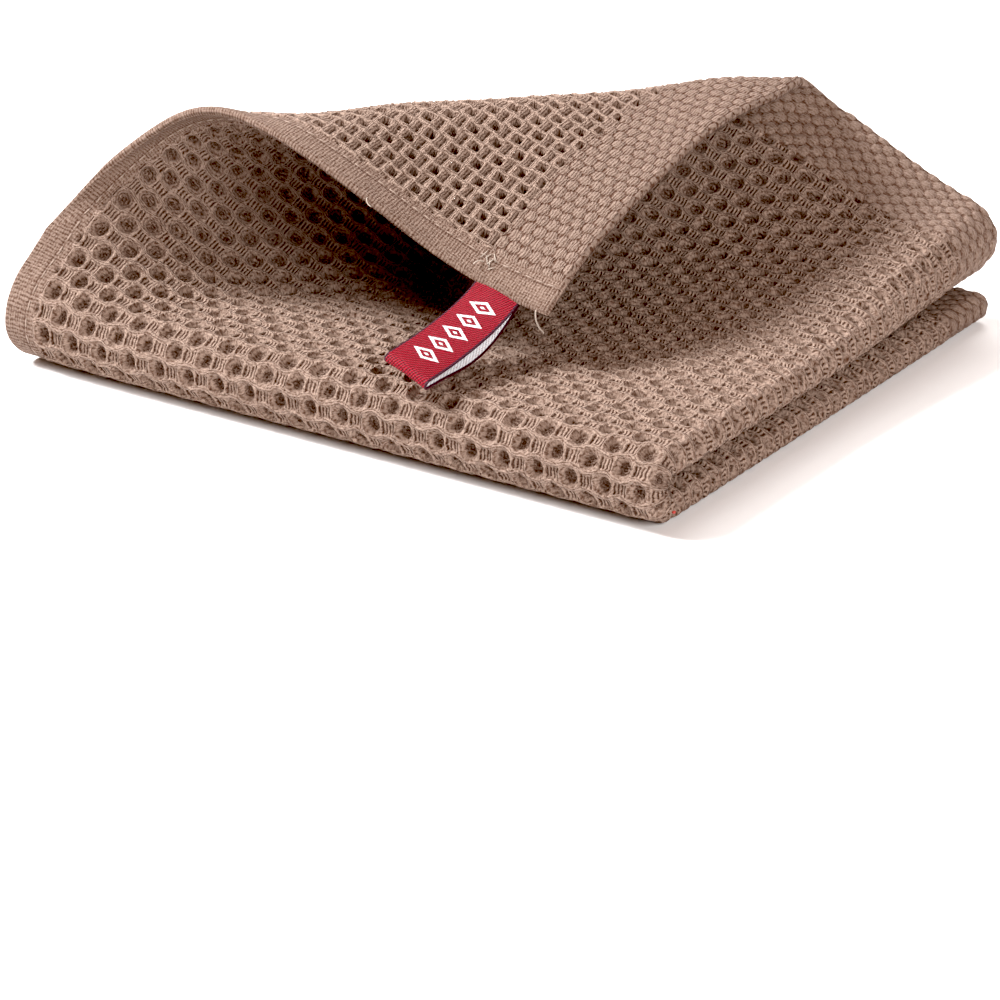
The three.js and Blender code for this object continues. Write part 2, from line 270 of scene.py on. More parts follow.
# %% [markdown]
# ## The weave
# Waffle cloth has a lattice of hollows. On the face each is a rounded pit with rings of yarn down its
# sides. Pits stand in staggered rows, with a short ladder of upright threads between two pits of a row,
# and a wavy bundle of yarn between two rows. The back has small square holes where the face has ladders.
# The same drawing is wanted twice: as numbers that raise the mesh, and as shader nodes that draw the
# single threads. So it is written once, with a few small tools that take either an array or a node.

# %% A number on the cloth that a shader node gives
class Field:
    """A number that varies over the cloth, as the output of a shader node."""

    def __init__(self, tree, socket):
        self.tree = tree
        self.socket = socket

    def math(self, operation, *others):
        node = self.tree.nodes.new("ShaderNodeMath")
        node.operation = operation
        for slot, value in zip(node.inputs, (self, *others)):
            if isinstance(value, Field):
                self.tree.links.new(value.socket, slot)
            else:
                slot.default_value = value
        return Field(self.tree, node.outputs[0])

    def __add__(self, other):
        return self.math("ADD", other)

    def __sub__(self, other):
        return self.math("SUBTRACT", other)

    def __mul__(self, other):
        return self.math("MULTIPLY", other)

    def __truediv__(self, other):
        return self.math("DIVIDE", other)

    def __pow__(self, power):
        return self.math("POWER", power)

    def __neg__(self):
        return self.math("MULTIPLY", -1.0)

    def __rsub__(self, other):
        return (-self).math("ADD", other)

    __radd__ = __add__
    __rmul__ = __mul__


# %% Small tools that work on arrays and on shader nodes
def nearest(x):
    """How far x is from the nearest whole number, from -0.5 to 0.5."""
    return x.math("WRAP", 0.5, -0.5) if isinstance(x, Field) else x - np.round(x)


def size(x):
    return x.math("ABSOLUTE") if isinstance(x, Field) else np.abs(x)


def cosine(turns):
    angle = turns * (2 * math.pi)
    return angle.math("COSINE") if isinstance(turns, Field) else np.cos(angle)


def is_less(a, b):
    return a.math("LESS_THAN", b) if isinstance(a, Field) else (a < b) * 1.0


def larger(a, b):
    return a.math("MAXIMUM", b) if isinstance(a, Field) else np.maximum(a, b)


def smaller(a, b):
    return a.math("MINIMUM", b) if isinstance(a, Field) else np.minimum(a, b)


def step_up(x, low, high):
    """0 below low and 1 above high, with a soft rise between."""
    if not isinstance(x, Field):
        return ease((x - low) / (high - low))
    node = x.tree.nodes.new("ShaderNodeMapRange")
    node.interpolation_type = "SMOOTHSTEP"
    x.tree.links.new(x.socket, node.inputs["Value"])
    node.inputs["From Min"].default_value = low
    node.inputs["From Max"].default_value = high
    return Field(x.tree, node.outputs["Result"])


def mixed(a, b, share):
    return a + (b - a) * share


# %% Threads, in a row or alone
GAP_PLACE, THREAD_ROUNDNESS = 0.5, 1.5


def thread(place):
    """Round top of a thread at each whole number, down to 0 in the gap between two threads."""
    return (1 - nearest(place) * nearest(place) * 4) ** THREAD_ROUNDNESS


def lone_thread(away, width):
    """Round top of one thread of this width, from the distance to its middle."""
    return thread(smaller(size(away) / width, GAP_PLACE))


def drawn(place, stray, count, start, waver, gap, top):
    """Threads: how many to a unit, where they start, how they waver, and how high gap and top lie."""
    return thread(place * count + start + stray * waver) * (top - gap) + gap


print("a thread's top, shoulder and gap", thread(np.array([0.0, 0.25, 0.5])).round(2))

# %% Where a point lies in the weave
REPEAT_ACROSS = 7.25
REPEAT_BACK = 6.1
ACROSS_PHASE = -11.4 / REPEAT_ACROSS
# Rows of the weave are spread more at the front than at the back, as on the real towel.
ROW_PLACES = (-140, -10, 4, 20, 40, 60, 140)
ROW_REPEATS = (6.3, 6.9, 7.2, 7.1, 6.3, 5.6, 5.5)
ROW_STEP = 0.2
# Threads shift in washing: share of a repeat, mm back and across over which it changes, and phase.
COLUMN_SHIFT, ROW_SHIFT = (0.03, 9.0, 23.0, 1.0), (0.035, 31.0, 13.0, 0.5)
fine_back = np.linspace(-145, 145, 1451)
fine_repeats = np.interp(fine_back[:-1] + ROW_STEP / 2, ROW_PLACES, ROW_REPEATS)
fine_rows = np.concatenate([[0], np.cumsum(ROW_STEP / fine_repeats)])
fine_rows -= np.interp(0, fine_back, fine_rows)


def washed(across, back, share, over_back, over_across, phase):
    return share * np.sin(back / over_back + phase) * np.sin(across / over_across)


def weave_place(across, back):
    """Counts repeats of the weave across and back, a little unevenly."""
    columns = across / REPEAT_ACROSS + ACROSS_PHASE + washed(across, back, *COLUMN_SHIFT)
    rows = np.interp(back, fine_back, fine_rows) + washed(across, back, *ROW_SHIFT)
    return columns, rows


print("rows of pits on the upper half", round(2 * float(weave_place(0, 120.0)[1])))

# %% Which cell of the weave a point lies in, and where in it
HALF_ROW = 0.25
WAVE = 0.055


def face_cell(columns, rows):
    """Across from the middle of the nearest pit, share of the way to the row's edge, and that way in mm."""
    wave = cosine(columns) * WAVE
    first, second = wave + HALF_ROW, HALF_ROW - wave
    in_first = is_less(size(nearest(rows)), first)
    x = size(mixed(nearest(columns - 0.5), nearest(columns), in_first))
    share = size(mixed(nearest(rows - 0.5) / second, nearest(rows) / first, in_first))
    return x, share, mixed(second, first, in_first) * REPEAT_BACK


def back_cell(columns, rows):
    """Across from the middle of the nearest hole, and share of the way to the row's edge."""
    in_first = is_less(size(nearest(rows)), HALF_ROW)
    x = size(mixed(nearest(columns), nearest(columns - 0.5), in_first))
    share = size(mixed(nearest(rows - 0.5), nearest(rows), in_first)) / HALF_ROW
    return x, share


print("a row is", round(2 * float(face_cell(0.0, 0.0)[2]), 2), "mm high at a pit")

# %% The face: pits, ladders and bundles
PIT_HALF_WIDTH, PIT_HALF_HEIGHT, PIT_ROUNDNESS = 0.262, 0.86, 2.4
PIT_SIDE, BUNDLE_EDGE, LADDER_EDGE, LADDER_FLOOR = (0.45, 1.1), (0.28, 0.48), (0.25, 0.29), (0.3, 0.36)
LIP_PLACE, LIP_WIDTH = 1.08, 0.4
LEVEL, BUNDLE_HEIGHT, LADDER_DEPTH, PIT_DEPTH, LIP_HEIGHT = 1.0, 0.35, 0.3, 1.3, 0.3
# Threads, as the function above takes them: count, start, waver, gap and top
RINGS = (2.5, 0.1, 0.4, 0.35, 0.95)
LADDER_THREADS = (REPEAT_ACROSS / 0.74, 0.12, 0.16, 0.0, 1.0)
BUNDLE_STRANDS = (1 / 0.42, 0.05, 0.25, 0.4, 1.0)


def face_parts(columns, rows):
    """Shares of ladder and bundle, the place from pit to rim, the mm to the row's edge, and x."""
    x, share, half_row = face_cell(columns, rows)
    wide, high = (x / PIT_HALF_WIDTH) ** PIT_ROUNDNESS, (share / PIT_HALF_HEIGHT) ** PIT_ROUNDNESS
    rim = (wide + high) ** (1 / PIT_ROUNDNESS)
    to_line = (1 - share) * half_row
    bundle = 1 - step_up(to_line, *BUNDLE_EDGE)
    ladder = step_up(x, *LADDER_EDGE) * (1 - bundle)
    return ladder, bundle, rim, to_line, x


def face_relief(columns, rows):
    """Height in mm over the middle of the sheet."""
    ladder, bundle, rim, _, x = face_parts(columns, rows)
    pit = 1 - step_up(rim, *PIT_SIDE)
    lip = lone_thread(rim - LIP_PLACE, LIP_WIDTH) * (1 - bundle)
    raised = LEVEL + BUNDLE_HEIGHT * bundle + LIP_HEIGHT * lip
    return raised - LADDER_DEPTH * ladder * step_up(x, *LADDER_FLOOR) - PIT_DEPTH * pit


def face_threads(columns, rows, stray):
    """Thread-scale height from 0 to 1, and how deep in shade the point lies, from 0 to 1."""
    ladder, bundle, rim, to_line, x = face_parts(columns, rows)
    uprights = drawn(x, stray, *LADDER_THREADS)
    in_row = mixed(drawn(rim, stray, *RINGS), uprights, ladder)
    fine = mixed(in_row, drawn(to_line, stray, *BUNDLE_STRANDS), bundle)
    # Painted shade falls between the ladder's uprights and deep in each pit
    between = ladder * (1 - uprights) * step_up(to_line, 0.4, 1.0)
    pit_shade = 1 - step_up(rim + stray * 0.15, 0.05, 1.05)
    return fine, larger(pit_shade, between * 0.8)


print("pit and bundle, in mm", face_relief(0.0, np.array([0, HALF_ROW + WAVE])).round(2))

# %% The back: square holes, upright pairs and slots
HOLE_SIDE, HOLE_END = (0.07, 0.16), (0.35, 0.8)
PAIR_START, PAIR_STOP, PAIR_END = (0.12, 0.15), (0.27, 0.31), (0.78, 0.98)
PAIR_MIDDLE, PAIR_WIDTH = 0.205, 0.16
SLOT_STOP, SLOT_HEIGHT = (0.47, 0.52), (0.1, 0.36)
BACK_EDGE, BACK_BUNDLE, PAIR_HEIGHT, HOLE_DEPTH, SLOT_DEPTH = (0.5, 0.9), 0.25, 0.4, 1.4, 0.5
PAIR_THREADS = (1 / 0.078, -0.176 / 0.078, 0.2, 0.3, 1.1)
BACK_STRANDS = (REPEAT_BACK / 4 / 0.55, 0.25, 0.3, 0.25, 1.0)


def back_parts(columns, rows):
    """Shares of hole, slot and upright pair, the place across from the hole, and that in the row."""
    x, share = back_cell(columns, rows)
    hole = (1 - step_up(x, *HOLE_SIDE)) * (1 - step_up(share, *HOLE_END))
    past_pair = step_up(x, *PAIR_STOP)
    slot = past_pair * (1 - step_up(share, *SLOT_HEIGHT)) * (1 - step_up(x, *SLOT_STOP))
    pair = step_up(x, *PAIR_START) * (1 - past_pair) * (1 - step_up(share, *PAIR_END))
    return hole, slot, pair, x, share


def back_relief(columns, rows):
    hole, slot, pair, x, share = back_parts(columns, rows)
    lone_pair = pair * lone_thread(x - PAIR_MIDDLE, PAIR_WIDTH)
    raised = LEVEL + BACK_BUNDLE * step_up(share, *BACK_EDGE) + PAIR_HEIGHT * lone_pair
    return raised - HOLE_DEPTH * hole - SLOT_DEPTH * slot


def back_threads(columns, rows, stray):
    hole, slot, pair, x, share = back_parts(columns, rows)
    fine = mixed(drawn(share, stray, *BACK_STRANDS), drawn(x, stray, *PAIR_THREADS), pair)
    # Holes and slots get painted shade
    return fine, larger(hole, slot * 0.75)


print("hole and bundle, in mm", back_relief(0.5, np.array([0, HALF_ROW])).round(2))

# %% The band: staggered beads of packed yarn
# Pitch across and back, width and height, in mm
FACE_BEADS, BACK_BEADS = (4.0, 3.4, 2.5, 2.75), (5.9, 2.7, 3.15, 2.7)
BEAD_SIDE = (0.1, 1.2)


def bead(across, back, beads):
    """1 at the top of a bead and 0 in the groove around it. Places are in mm."""
    pitch_across, pitch_back, width, height = beads
    columns, rows = across / pitch_across, back / pitch_back
    wide, high = 2 * pitch_across / width, 2 * pitch_back / height
    first = (nearest(columns) * wide) ** 2 + (nearest(rows) * high) ** 2
    second = (nearest(columns - 0.5) * wide) ** 2 + (nearest(rows - 0.5) * high) ** 2
    return 1 - step_up(smaller(first, second), *BEAD_SIDE)


print("beads along the band's face", round(2 * HEM / FACE_BEADS[0]))

# %% Height of either side at any place, with the band, the hem and rounded edges
BAND_LEVEL, BEAD_HEIGHT, BAND_BLEND = 0.9, 0.34, 0.4
HEM_LEVEL, HEM_BLEND = 0.85, 0.3
EDGE_ROUND, EDGE_DROP = 0.9, 0.92


def side_height(across, back, is_face):
    """Height in mm of one side over the middle of the sheet."""
    columns, rows = weave_place(across, back)
    relief = face_relief(columns, rows) if is_face else back_relief(columns, rows)
    beads = BAND_LEVEL + BEAD_HEIGHT * bead(across, back, FACE_BEADS if is_face else BACK_BEADS)
    to_band = np.abs(back) - (FREE_LENGTH - BAND_WIDTH)
    to_hem = np.abs(across) - (HEM - HEM_WIDTH)
    height = mixed(relief, beads, step_up(to_band, -BAND_BLEND, BAND_BLEND))
    height = mixed(height, HEM_LEVEL, step_up(to_hem, -HEM_BLEND, HEM_BLEND))
    to_edge = np.minimum(HEM - np.abs(across), FREE_LENGTH - np.abs(back))
    rim = np.clip(1 - to_edge / EDGE_ROUND, 0, 1)
    return height * np.sqrt(np.clip(1 - rim**2 * EDGE_DROP, 0, 1))


print("hem and its edge, in mm", side_height(np.array([HEM - 3, HEM]), 0.0, True).round(2))

# %% [markdown]
# ## Panels of the cloth
# One sheet with this relief would be far too many faces for one mesh, so it is laid in six panels that
# meet edge to edge. Panels that show are cut finely and the hidden ones coarsely. Each starts as a flat
# grid, is extruded to a slab, and each of its points is then carried to its folded place. Normals are
# taken from a slightly wider net than the panel, so that neighbours shade alike where they meet.

# %% Panels: range across, range back, and the size of a face
FINE_ROWS, SEAM_ROW = 692, 321
FINE = 2 * FREE_LENGTH / FINE_ROWS
COARSE, HALF_HIDDEN = 1.2, 1.0
FRONT_SEAM = -FREE_LENGTH + SEAM_ROW * FINE
PANELS = (
    ("cloth_right_fold", (-10, 12), (-FREE_LENGTH, FREE_LENGTH), FINE),
    ("cloth_top_right", (12, 58.8), (FRONT_SEAM, FREE_LENGTH), FINE),
    ("cloth_top_middle", (58.8, 105.6), (FRONT_SEAM, FREE_LENGTH), FINE),
    ("cloth_top_left", (105.6, HEM), (FRONT_SEAM, FREE_LENGTH), FINE),
    ("cloth_under", (12, HEM), (-FREE_LENGTH, FRONT_SEAM), COARSE),
    ("cloth_inner", (-HEM, -10), (-FREE_LENGTH, FREE_LENGTH), HALF_HIDDEN),
)
WAFFLE_FACE, WAFFLE_BACK, BAND_FACE, BAND_BACK, HEM_CLOTH = range(5)
print("a fine face is", round(FINE, 2), "mm")

# %% Start every cloth and tape as a flat slab
def flat_slab(name, columns, rows):
    """A grid extruded to a slab, with the column, the row and the side of each of its points."""
    bpy.ops.mesh.primitive_grid_add(x_subdivisions=columns, y_subdivisions=rows, size=1, location=(0, 0, 0))
    slab = bpy.context.object
    slab.name = slab.data.name = name
    bpy.ops.object.mode_set(mode="EDIT")
    bpy.ops.mesh.select_all(action="SELECT")
    bpy.ops.mesh.extrude_region_move(TRANSFORM_OT_translate={"value": (0, 0, 1)})
    bpy.ops.object.mode_set(mode="OBJECT")
    flat = np.empty(len(slab.data.vertices) * 3)
    slab.data.vertices.foreach_get("co", flat)
    flat = flat.reshape(-1, 3)
    column = np.round((flat[:, 0] + 0.5) * columns).astype(int)
    row = np.round((flat[:, 1] + 0.5) * rows).astype(int)
    return slab, column, row, flat[:, 2] > 0.5


def face_corners(mesh):
    """The point at each corner of each face, in one row and in fours."""
    corner = np.empty(len(mesh.loops), dtype=np.int32)
    mesh.loops.foreach_get("vertex_index", corner)
    start = np.empty(len(mesh.polygons), dtype=np.int32)
    mesh.polygons.foreach_get("loop_start", start)
    return corner, corner[start[:, None] + np.arange(4)]


def add_maps(mesh, corner, maps):
    """Gives the mesh maps of its own in place of the grid's, from two numbers at each point."""
    mesh.uv_layers.remove(mesh.uv_layers[0])
    for name, places in maps.items():
        layer = mesh.uv_layers.new(name=name)
        layer.data.foreach_set("uv", np.stack(places, axis=-1)[corner].ravel())


# %% Places, normals, finish and volume of a panel
def folded_net(across, back, is_face):
    """Places and normals of one side on a net of flat places that is one row wider all round."""
    laid_across, laid_back = cut_place(across, back)
    turned = 1 if is_face else -1
    height = side_height(across, back, is_face)[..., None] * MM
    points = cloth_point(laid_across, laid_back) + cloth_normal(laid_across, laid_back) * turned * height
    normals = unit(np.cross(np.gradient(points, axis=1), np.gradient(points, axis=0))) * turned
    return points[1:-1, 1:-1], normals[1:-1, 1:-1]


def finish_of_faces(across, back, face_side):
    """Which finish each face has, from where its middle lies on the flat cut."""
    in_band = np.abs(back.mean(axis=1)) > FREE_LENGTH - BAND_WIDTH
    in_hem = np.abs(across.mean(axis=1)) > HEM - HEM_WIDTH
    waffle = np.where(face_side, WAFFLE_FACE, WAFFLE_BACK)
    band = np.where(face_side, BAND_FACE, BAND_BACK)
    return np.where(in_hem, HEM_CLOTH, np.where(in_band, band, waffle)).astype(np.int32)


def enclosed(points, four):
    """Volume in cubic metres, which is negative where the faces point inwards."""
    a, b, c, d = points[four].transpose(1, 0, 2)
    return (np.cross(c - a, d - b) * (a + b + c + d)).sum() / 24


# %% Fold the panels
def build_panel(name, across_range, back_range, step):
    width = across_range[1] - across_range[0]
    length = back_range[1] - back_range[0]
    columns, rows = round(width / step), round(length / step)
    panel, column, row, on_face = flat_slab(name, columns, rows)
    mesh = panel.data
    net_across = across_range[0] + width * np.arange(-1, columns + 2) / columns
    net_back = back_range[0] + length * np.arange(-1, rows + 2) / rows
    net_across, net_back = np.meshgrid(net_across, net_back, indexing="ij")
    points, normals = np.empty((2, len(column), 3))
    for is_face in (True, False):
        mine = on_face == is_face
        net_points, net_normals = folded_net(net_across, net_back, is_face)
        points[mine] = net_points[column[mine], row[mine]]
        normals[mine] = net_normals[column[mine], row[mine]]
    mesh.vertices.foreach_set("co", points.ravel())

    # Two maps: repeats of the weave, and millimetres on the flat cut
    across = net_across[column + 1, 0]
    back = net_back[0, row + 1]
    corner, four = face_corners(mesh)
    add_maps(mesh, corner, {"weave": weave_place(across, back), "cut": (across, back)})
    mesh.polygons.foreach_set(
        "material_index", finish_of_faces(across[four], back[four], on_face[four].all(axis=1))
    )
    mesh.update()

    # Turn the faces outwards, then give the normals of the wider net
    volume = enclosed(points, four)
    if volume < 0:
        mesh.flip_normals()
    mesh.shade_smooth()
    mesh.normals_split_custom_set_from_vertices(normals)
    print(name, len(mesh.polygons) * 2, "triangles,", round(abs(volume) * 1e6, 1), "cm3")
    return panel


panels = [build_panel(*row) for row in PANELS]

# %% [markdown]
# ## Finishes
# The cotton is a matt, warm taupe. Its threads are about half a millimetre thick, finer than the mesh,
# so colour and bump from the weave's own map draw them. Unlike an image, a drawing made of nodes stays
# sharp however near it is seen. Each thread runs from its yarn colour to painted shade in the gap beside
# it, and what lies deep in a pit gets a darker, redder painted shade, since little light gets down there.
# Soft noise shifts the threads and roughens them with fuzz, fibres and thin hairs.

# %% Materials, maps, noise and mixing
def new_material(name, roughness):
    material = bpy.data.materials.new(name)
    material.use_nodes = True
    shader = material.node_tree.nodes["Principled BSDF"]
    shader.inputs["Roughness"].default_value = roughness
    return material, material.node_tree, shader


def map_output(tree, name):
    source = tree.nodes.new("ShaderNodeUVMap")
    source.uv_map = name
    return source.outputs["UV"]


def map_fields(tree, name):
    """The two numbers of one of a piece's maps."""
    parts = tree.nodes.new("ShaderNodeSeparateXYZ")
    tree.links.new(map_output(tree, name), parts.inputs[0])
    return Field(tree, parts.outputs["X"]), Field(tree, parts.outputs["Y"])


def noise(tree, name, across_per_unit, back_per_unit, detail=2.0):
    """Smooth noise from about -1 to 1 on one of the maps, stretched as asked."""
    scale = tree.nodes.new("ShaderNodeMapping")
    scale.inputs["Scale"].default_value = (across_per_unit, back_per_unit, 1)
    tree.links.new(map_output(tree, name), scale.inputs["Vector"])
    texture = tree.nodes.new("ShaderNodeTexNoise")
    texture.inputs["Scale"].default_value = 1.0
    texture.inputs["Detail"].default_value = detail
    tree.links.new(scale.outputs["Vector"], texture.inputs["Vector"])
    return Field(tree, texture.outputs["Fac"]) * 4 - 2


def mix_colour(a, b, share):
    """From colour a to colour b, each a tuple or a socket."""
    node = share.tree.nodes.new("ShaderNodeMix")
    node.data_type = "RGBA"
    for slot, colour in ((node.inputs["A"], a), (node.inputs["B"], b)):
        if isinstance(colour, tuple):
            slot.default_value = (*colour, 1)
        else:
            share.tree.links.new(colour, slot)
    share.tree.links.new(share.socket, node.inputs["Factor"])
    return node.outputs["Result"]


def finish(shader, colour, height, bump_mm):
    """Gives the shader its colour, and its threads as bump."""
    tree = height.tree
    tree.links.new(colour, shader.inputs["Base Color"])
    bump = tree.nodes.new("ShaderNodeBump")
    bump.inputs["Distance"].default_value = bump_mm * MM
    tree.links.new(height.socket, bump.inputs["Height"])
    tree.links.new(bump.outputs["Normal"], shader.inputs["Normal"])


# %% Cotton: colour of the yarn, and painted shade for the gaps between threads and for the depth of a pit
YARN, PALE_YARN = (0.278, 0.2, 0.16), 1.3
GAP_SHADE = (0.06, 0.022, 0.01)
DEEP_SHADE, DEEPEST_SHADE, LEAST_SHADE = (0.034, 0.011, 0.004), 0.95, 0.25
COTTON_ROUGHNESS = 0.95
# What fuzz, fibres and hairs add to the light, add to the bump and take from the shade
LOOSE = ((0.3, 0.2, 0.25), (0.35, 0.2, 0.25), (0.4, 0.2, 0.45))
# Noise that moves the threads: its map, how fine it is across and back, and how far it moves them
SHIFTS = {
    "columns": (("weave", 2.3, 2.3, 0.026), ("cut", 1.2, 1.2, 0.007)),
    "rows": (("weave", 3.1, 2.7, 0.034), ("cut", 1.1, 1.3, 0.01)),
    "band across": (("cut", 0.45, 0.45, 0.25), ("cut", 1.4, 1.4, 0.12)),
    "band back": (("cut", 0.4, 0.5, 0.22), ("cut", 1.3, 1.6, 0.12)),
    "hem across": (("cut", 0.7, 0.8, 0.15),),
    "hem back": (("cut", 0.8, 0.8, 0.15), ("cut", 2.0, 2.0, 0.06)),
}


def shifted(place, kind):
    """Moves threads a little from place to place, as soft yarn lies."""
    for name, across, back, by in SHIFTS[kind]:
        place = place + noise(place.tree, name, across, back) * by
    return place


def hairs(tree, across_per_mm, back_per_mm):
    """Thin light fibres that stand off the yarn, along the lines where a noise crosses zero."""
    return 1 - step_up(size(noise(tree, "cut", across_per_mm, back_per_mm, detail=1.0)), 0.02, 0.2)


def finish_cotton(shader, fine, depth, bump_mm, tone=1.0):
    """Colours the threads, paints shade into their gaps and into what lies deep, and raises the threads as bump."""
    tree = fine.tree
    fuzz, fibre = noise(tree, "cut", 2.3, 2.3), noise(tree, "cut", 1.0, 2.8, detail=1.0)
    loose = fuzz, fibre, larger(hairs(tree, 0.55, 1.5), hairs(tree, 1.4, 0.6))
    light, bump, lit = (sum(part * share for part, share in zip(loose, shares)) for shares in LOOSE)
    patch = noise(tree, "cut", 0.3, 0.3) * 0.25 + 0.5
    yarn = mix_colour(tuple(c * tone for c in YARN), tuple(c * tone * PALE_YARN for c in YARN), patch)
    # Where a thread falls away towards its gap, the colour turns to painted shade
    threads = mix_colour(GAP_SHADE, yarn, step_up(fine + light, 0.0, 1.3))
    # depth is the share of painted shade a place gets; loose fibres take some of it away
    shade = larger(depth * (DEEPEST_SHADE - lit), depth * LEAST_SHADE)
    finish(shader, mix_colour(threads, DEEP_SHADE, shade), fine + bump, bump_mm)


# %% The waffle's two sides
WAFFLE_BUMP = 0.3


def waffle_material(name, threads):
    material, tree, shader = new_material(name, COTTON_ROUGHNESS)
    columns, rows = map_fields(tree, "weave")
    columns, rows = shifted(columns, "columns"), shifted(rows, "rows")
    # depth here is the share of painted shade in pits, ladders, holes and slots
    fine, depth = threads(columns, rows, noise(tree, "cut", 1.0, 1.0))
    finish_cotton(shader, fine, depth, WAFFLE_BUMP)
    return material


cotton = [waffle_material("waffle_face", face_threads), waffle_material("waffle_back", back_threads)]
print("waffle nodes", [len(material.node_tree.nodes) for material in cotton])

# %% [markdown]
# ## Band and hem
# The band at each end is woven tight, so its yarn packs into rows of beads in place of pits. The hem is
# plain cloth turned over twice, with a groove that its seam pulls in. Both are drawn on the map in
# millimetres, because their threads run on without the waffle's repeat.

# %% The band's two sides
BAND_BUMP, STRAND_PITCH, STRAND_BEND, STRAND_WAVER = 0.25, 0.64, 0.5, 0.15


def band_material(name, beads, striped, tone):
    """Beads of packed yarn; striped is how clearly single threads show on them, from 0 to 1."""
    material, tree, shader = new_material(name, COTTON_ROUGHNESS)
    across, back = map_fields(tree, "cut")
    across, back = shifted(across, "band across"), shifted(back, "band back")
    top = bead(across, back, beads)
    packed = step_up(top, -0.1, 0.35)
    waver = noise(tree, "cut", 0.9, 0.9) * STRAND_WAVER
    strands = thread(back / STRAND_PITCH + (1 - top) * STRAND_BEND + waver)
    # Bead tops are painted lighter as painted highlight, and the grooves round the beads and between strands darker
    # as painted shade
    lit = packed * (0.22 + 0.35 * striped) + top * 0.15 + 0.43
    fine = lit - (1 - strands) * (0.85 * striped)
    finish_cotton(shader, fine, (1 - packed) * 0.05, BAND_BUMP, tone)
    return material


cotton += [
    band_material("band_face", FACE_BEADS, striped=0.35, tone=0.78),
    band_material("band_back", BACK_BEADS, striped=0.9, tone=0.8),
]
print("band finishes", [material.name for material in cotton[2:]])

# %% The hem
HEM_BUMP, HEM_TONE, HEM_RIB, HEM_CROSSING = 0.2, 0.8, 0.66, 0.6
# Grooves of the seam and of the turned edge, darkened as painted shade: mm from the edge, and the mm over which the
# side rises
SEAM, TURN = (5.4, 0.1, 0.4), (1.1, 0.1, 0.45)


def groove(across, from_edge, low, high):
    return 1 - step_up(size(size(across) - (HEM - from_edge)), low, high)


def hem_material():
    """Close plain cloth, turned over twice, with the groove that its seam pulls in; that groove and the turned edge
    get painted shade.
    """
    material, tree, shader = new_material("hem", COTTON_ROUGHNESS)
    across, back = map_fields(tree, "cut")
    seam = groove(across, *SEAM) * (noise(tree, "cut", 0.9, 0.9) * 0.3 + 0.6)
    ribs = thread(shifted(back, "hem back") / HEM_RIB)
    crossing = thread(shifted(across, "hem across") / HEM_CROSSING)
    # The seam's groove also darkens the threads, as painted shade
    fine = ribs * 0.5 + crossing * 0.3 + 0.12 - seam * 0.3
    depth = larger(seam * 0.35, groove(across, *TURN) * 0.12)
    finish_cotton(shader, fine, depth, HEM_BUMP, HEM_TONE)
    return material


cotton.append(hem_material())
for panel in panels:
    for material in cotton:
        panel.data.materials.append(material)
print("cotton finishes", [material.name for material in cotton])

# %% [markdown]
# ## Label
# The label is a narrow woven tape, folded over and sewn into the hem by both ends. Its outer side is
# red satin and its inner side shows the white back of the weaving, which is seen where the lower ply
# sags away. It is a flat tape of its own, bent by a function along the same middle line as the solid.
# The white woven motif is a plain row of lozenges.

# %% The tape's path
LABEL_BACK, LABEL_WIDTH, LABEL_THICKNESS = 126.5, 10.0, 0.45
LABEL_BURIED, LABEL_GAP, LABEL_BEND = 0.9, 0.75, 9.0
LABEL_REACH = np.array([-1.8, -26.3, -7.1]) * MM
LABEL_END_TILT = np.array([0.93, 0.0, -0.36])
LABEL_ROOT_HALF, LABEL_LOOP_RADIUS, LABEL_LOOP_STEPS = 0.34, 0.95, 11
LABEL_OPENS, LABEL_SAG, LABEL_CURL = 1.4, 2.2, 0.25


def tape_section(steps):
    """Reach from root to loop, distance past the loop's middle, and rise, along the whole tape."""
    reach = np.linspace(0, 1, steps + 1)
    half = LABEL_ROOT_HALF + (LABEL_LOOP_RADIUS - LABEL_ROOT_HALF) * ease(reach * LABEL_OPENS)
    turn = np.linspace(0, math.pi, LABEL_LOOP_STEPS + 2)[1:-1]
    lower = -half - LABEL_SAG * np.sin(math.pi * reach) ** 2
    return (
        np.concatenate([reach, np.ones(LABEL_LOOP_STEPS), reach[::-1]]),
        np.concatenate([reach * 0, LABEL_LOOP_RADIUS * np.sin(turn), reach * 0]),
        np.concatenate([half, LABEL_LOOP_RADIUS * np.cos(turn), lower[::-1]]),
    )


def tape_points(steps, across):
    """Middle surface of the tape and its normals, for places across it in mm."""
    half = LABEL_WIDTH / 2
    root = cloth_point(HEM, LABEL_BACK)
    root_tilt = unit(cloth_point(HEM, LABEL_BACK + half) - cloth_point(HEM, LABEL_BACK - half))
    root_out = unit(root - cloth_point(HEM - 1.0, LABEL_BACK))
    start = root - root_out * LABEL_BURIED * MM
    bend = root + root_out * (LABEL_GAP + LABEL_BEND) * MM
    end = root + LABEL_REACH
    reach, past, rise = (part[:, None] for part in tape_section(steps))
    middle = (1 - reach) ** 2 * start + 2 * reach * (1 - reach) * bend + reach**2 * end
    heading = unit(2 * (1 - reach) * (bend - start) + 2 * reach * (end - bend))
    tilt = root_tilt + (LABEL_END_TILT - root_tilt) * reach
    tilt = unit(tilt - heading * (tilt * heading).sum(axis=-1, keepdims=True))
    up = np.cross(heading, tilt)
    line = middle + (heading * past + up * rise) * MM
    curl = LABEL_CURL * (across / half) ** 2 * MM
    points = line[:, None] + tilt[:, None] * across[:, None] * MM - up[:, None] * curl[:, None]
    along = np.gradient(line, axis=0)
    normals = unit(np.cross(along, tilt))
    lengths = np.concatenate([[0], np.cumsum(np.linalg.norm(np.diff(line, axis=0), axis=1))]) / MM
    return points, normals[:, None] + points * 0, lengths


# %% Build the tape
TAPE_STEPS, TAPE_COLUMNS = 60, 16
TAPE_SMOOTH = math.radians(50)
TAPE_OUTSIDE, TAPE_INSIDE, TAPE_EDGE = range(3)


